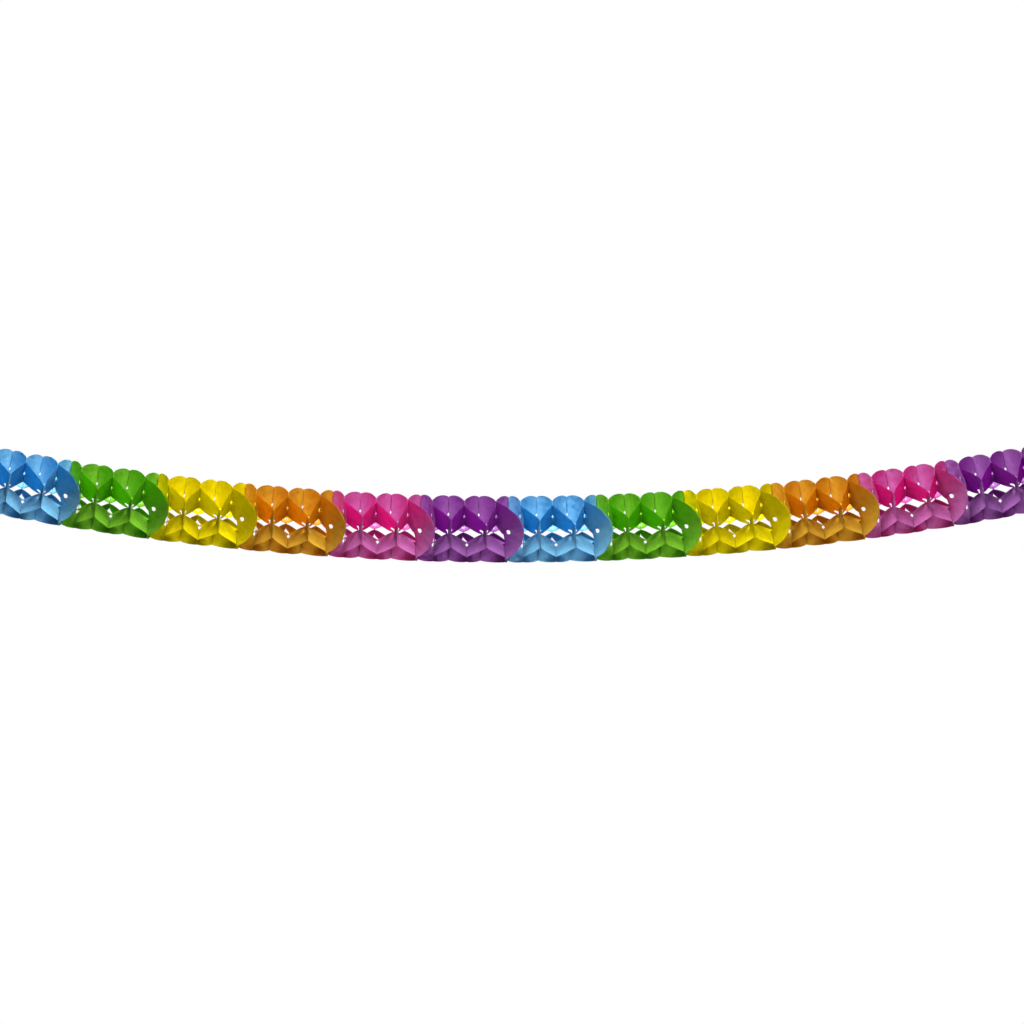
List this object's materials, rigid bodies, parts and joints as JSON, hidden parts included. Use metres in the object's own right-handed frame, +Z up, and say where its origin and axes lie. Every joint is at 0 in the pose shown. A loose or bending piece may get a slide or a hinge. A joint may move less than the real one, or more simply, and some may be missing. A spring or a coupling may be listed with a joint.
{
  "type": "paper garland",
  "caption": "Expanding round garland of glued die-cut tissue paper sheets in bands of colour, hung in a shallow curve between two stiff end cards with hanging holes.",
  "frame": {"origin": "mouth of the left end card's hanging hole", "axes": "+X along the garland to the right, +Y away from the viewer, +Z up"},
  "size_m": [2.5729, 0.16, 0.2831],
  "materials": {
    "blue": "matt translucent tissue paper with a fine grain and soft crinkles",
    "green": "matt translucent tissue paper with a fine grain and soft crinkles",
    "yellow": "matt translucent tissue paper with a fine grain and soft crinkles",
    "orange": "matt translucent tissue paper with a fine grain and soft crinkles",
    "pink": "matt translucent tissue paper with a fine grain and soft crinkles",
    "purple": "matt translucent tissue paper with a fine grain and soft crinkles",
    "card": "plain matt card"
  },
  "bodies": {
    "root": {"end_card_left": "card", "section_01_blue_pair_1": "blue", "section_01_blue_pair_2": "blue", "section_01_blue_pair_3": "blue", "section_02_green_pair_1": "green", "section_02_green_pair_2": "green", "section_02_green_pair_3": "green", "section_03_yellow_pair_1": "yellow", "section_03_yellow_pair_2": "yellow", "section_03_yellow_pair_3": "yellow", "section_04_orange_pair_1": "orange", "section_04_orange_pair_2": "orange", "section_04_orange_pair_3": "orange", "section_05_pink_pair_1": "pink", "section_05_pink_pair_2": "pink", "section_05_pink_pair_3": "pink", "section_06_purple_pair_1": "purple", "section_06_purple_pair_2": "purple", "section_06_purple_pair_3": "purple", "section_07_blue_pair_1": "blue", "section_07_blue_pair_2": "blue", "section_07_blue_pair_3": "blue", "section_08_green_pair_1": "green", "section_08_green_pair_2": "green", "section_08_green_pair_3": "green", "section_09_yellow_pair_1": "yellow", "section_09_yellow_pair_2": "yellow", "section_09_yellow_pair_3": "yellow", "section_10_orange_pair_1": "orange", "section_10_orange_pair_2": "orange", "section_10_orange_pair_3": "orange", "section_11_pink_pair_1": "pink", "section_11_pink_pair_2": "pink", "section_11_pink_pair_3": "pink", "section_12_purple_pair_1": "purple", "section_12_purple_pair_2": "purple", "section_12_purple_pair_3": "purple", "end_card_right": "card"}
  },
  "joints": []
}
